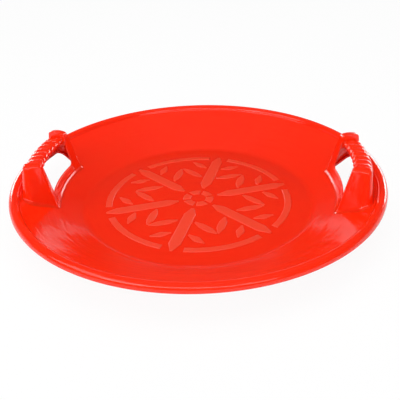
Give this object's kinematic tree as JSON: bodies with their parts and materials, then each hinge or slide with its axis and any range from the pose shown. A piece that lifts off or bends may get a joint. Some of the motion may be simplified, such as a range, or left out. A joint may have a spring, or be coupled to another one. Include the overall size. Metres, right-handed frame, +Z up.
{
  "type": "saucer sled",
  "caption": "Round snow saucer with a flat floor, a flared wall, a rolled rim and raised ribbed hand grips on opposite sides, for one rider to sit in and slide on snow.",
  "frame": {"origin": "centre of the flat underside of the floor, where the sled rests", "axes": "+Z up, +X towards the right hand grip, +Y towards the rear of the rider's view"},
  "size_m": [0.6, 0.6, 0.097],
  "materials": {
    "red_plastic": "glossy injection-moulded polyethylene, red-orange"
  },
  "bodies": {
    "root": {"dish": "red_plastic", "left_front_post": "red_plastic", "left_rear_post": "red_plastic", "left_sill": "red_plastic", "left_grip": "red_plastic", "right_front_post": "red_plastic", "right_rear_post": "red_plastic", "right_sill": "red_plastic", "right_grip": "red_plastic"}
  },
  "joints": []
}
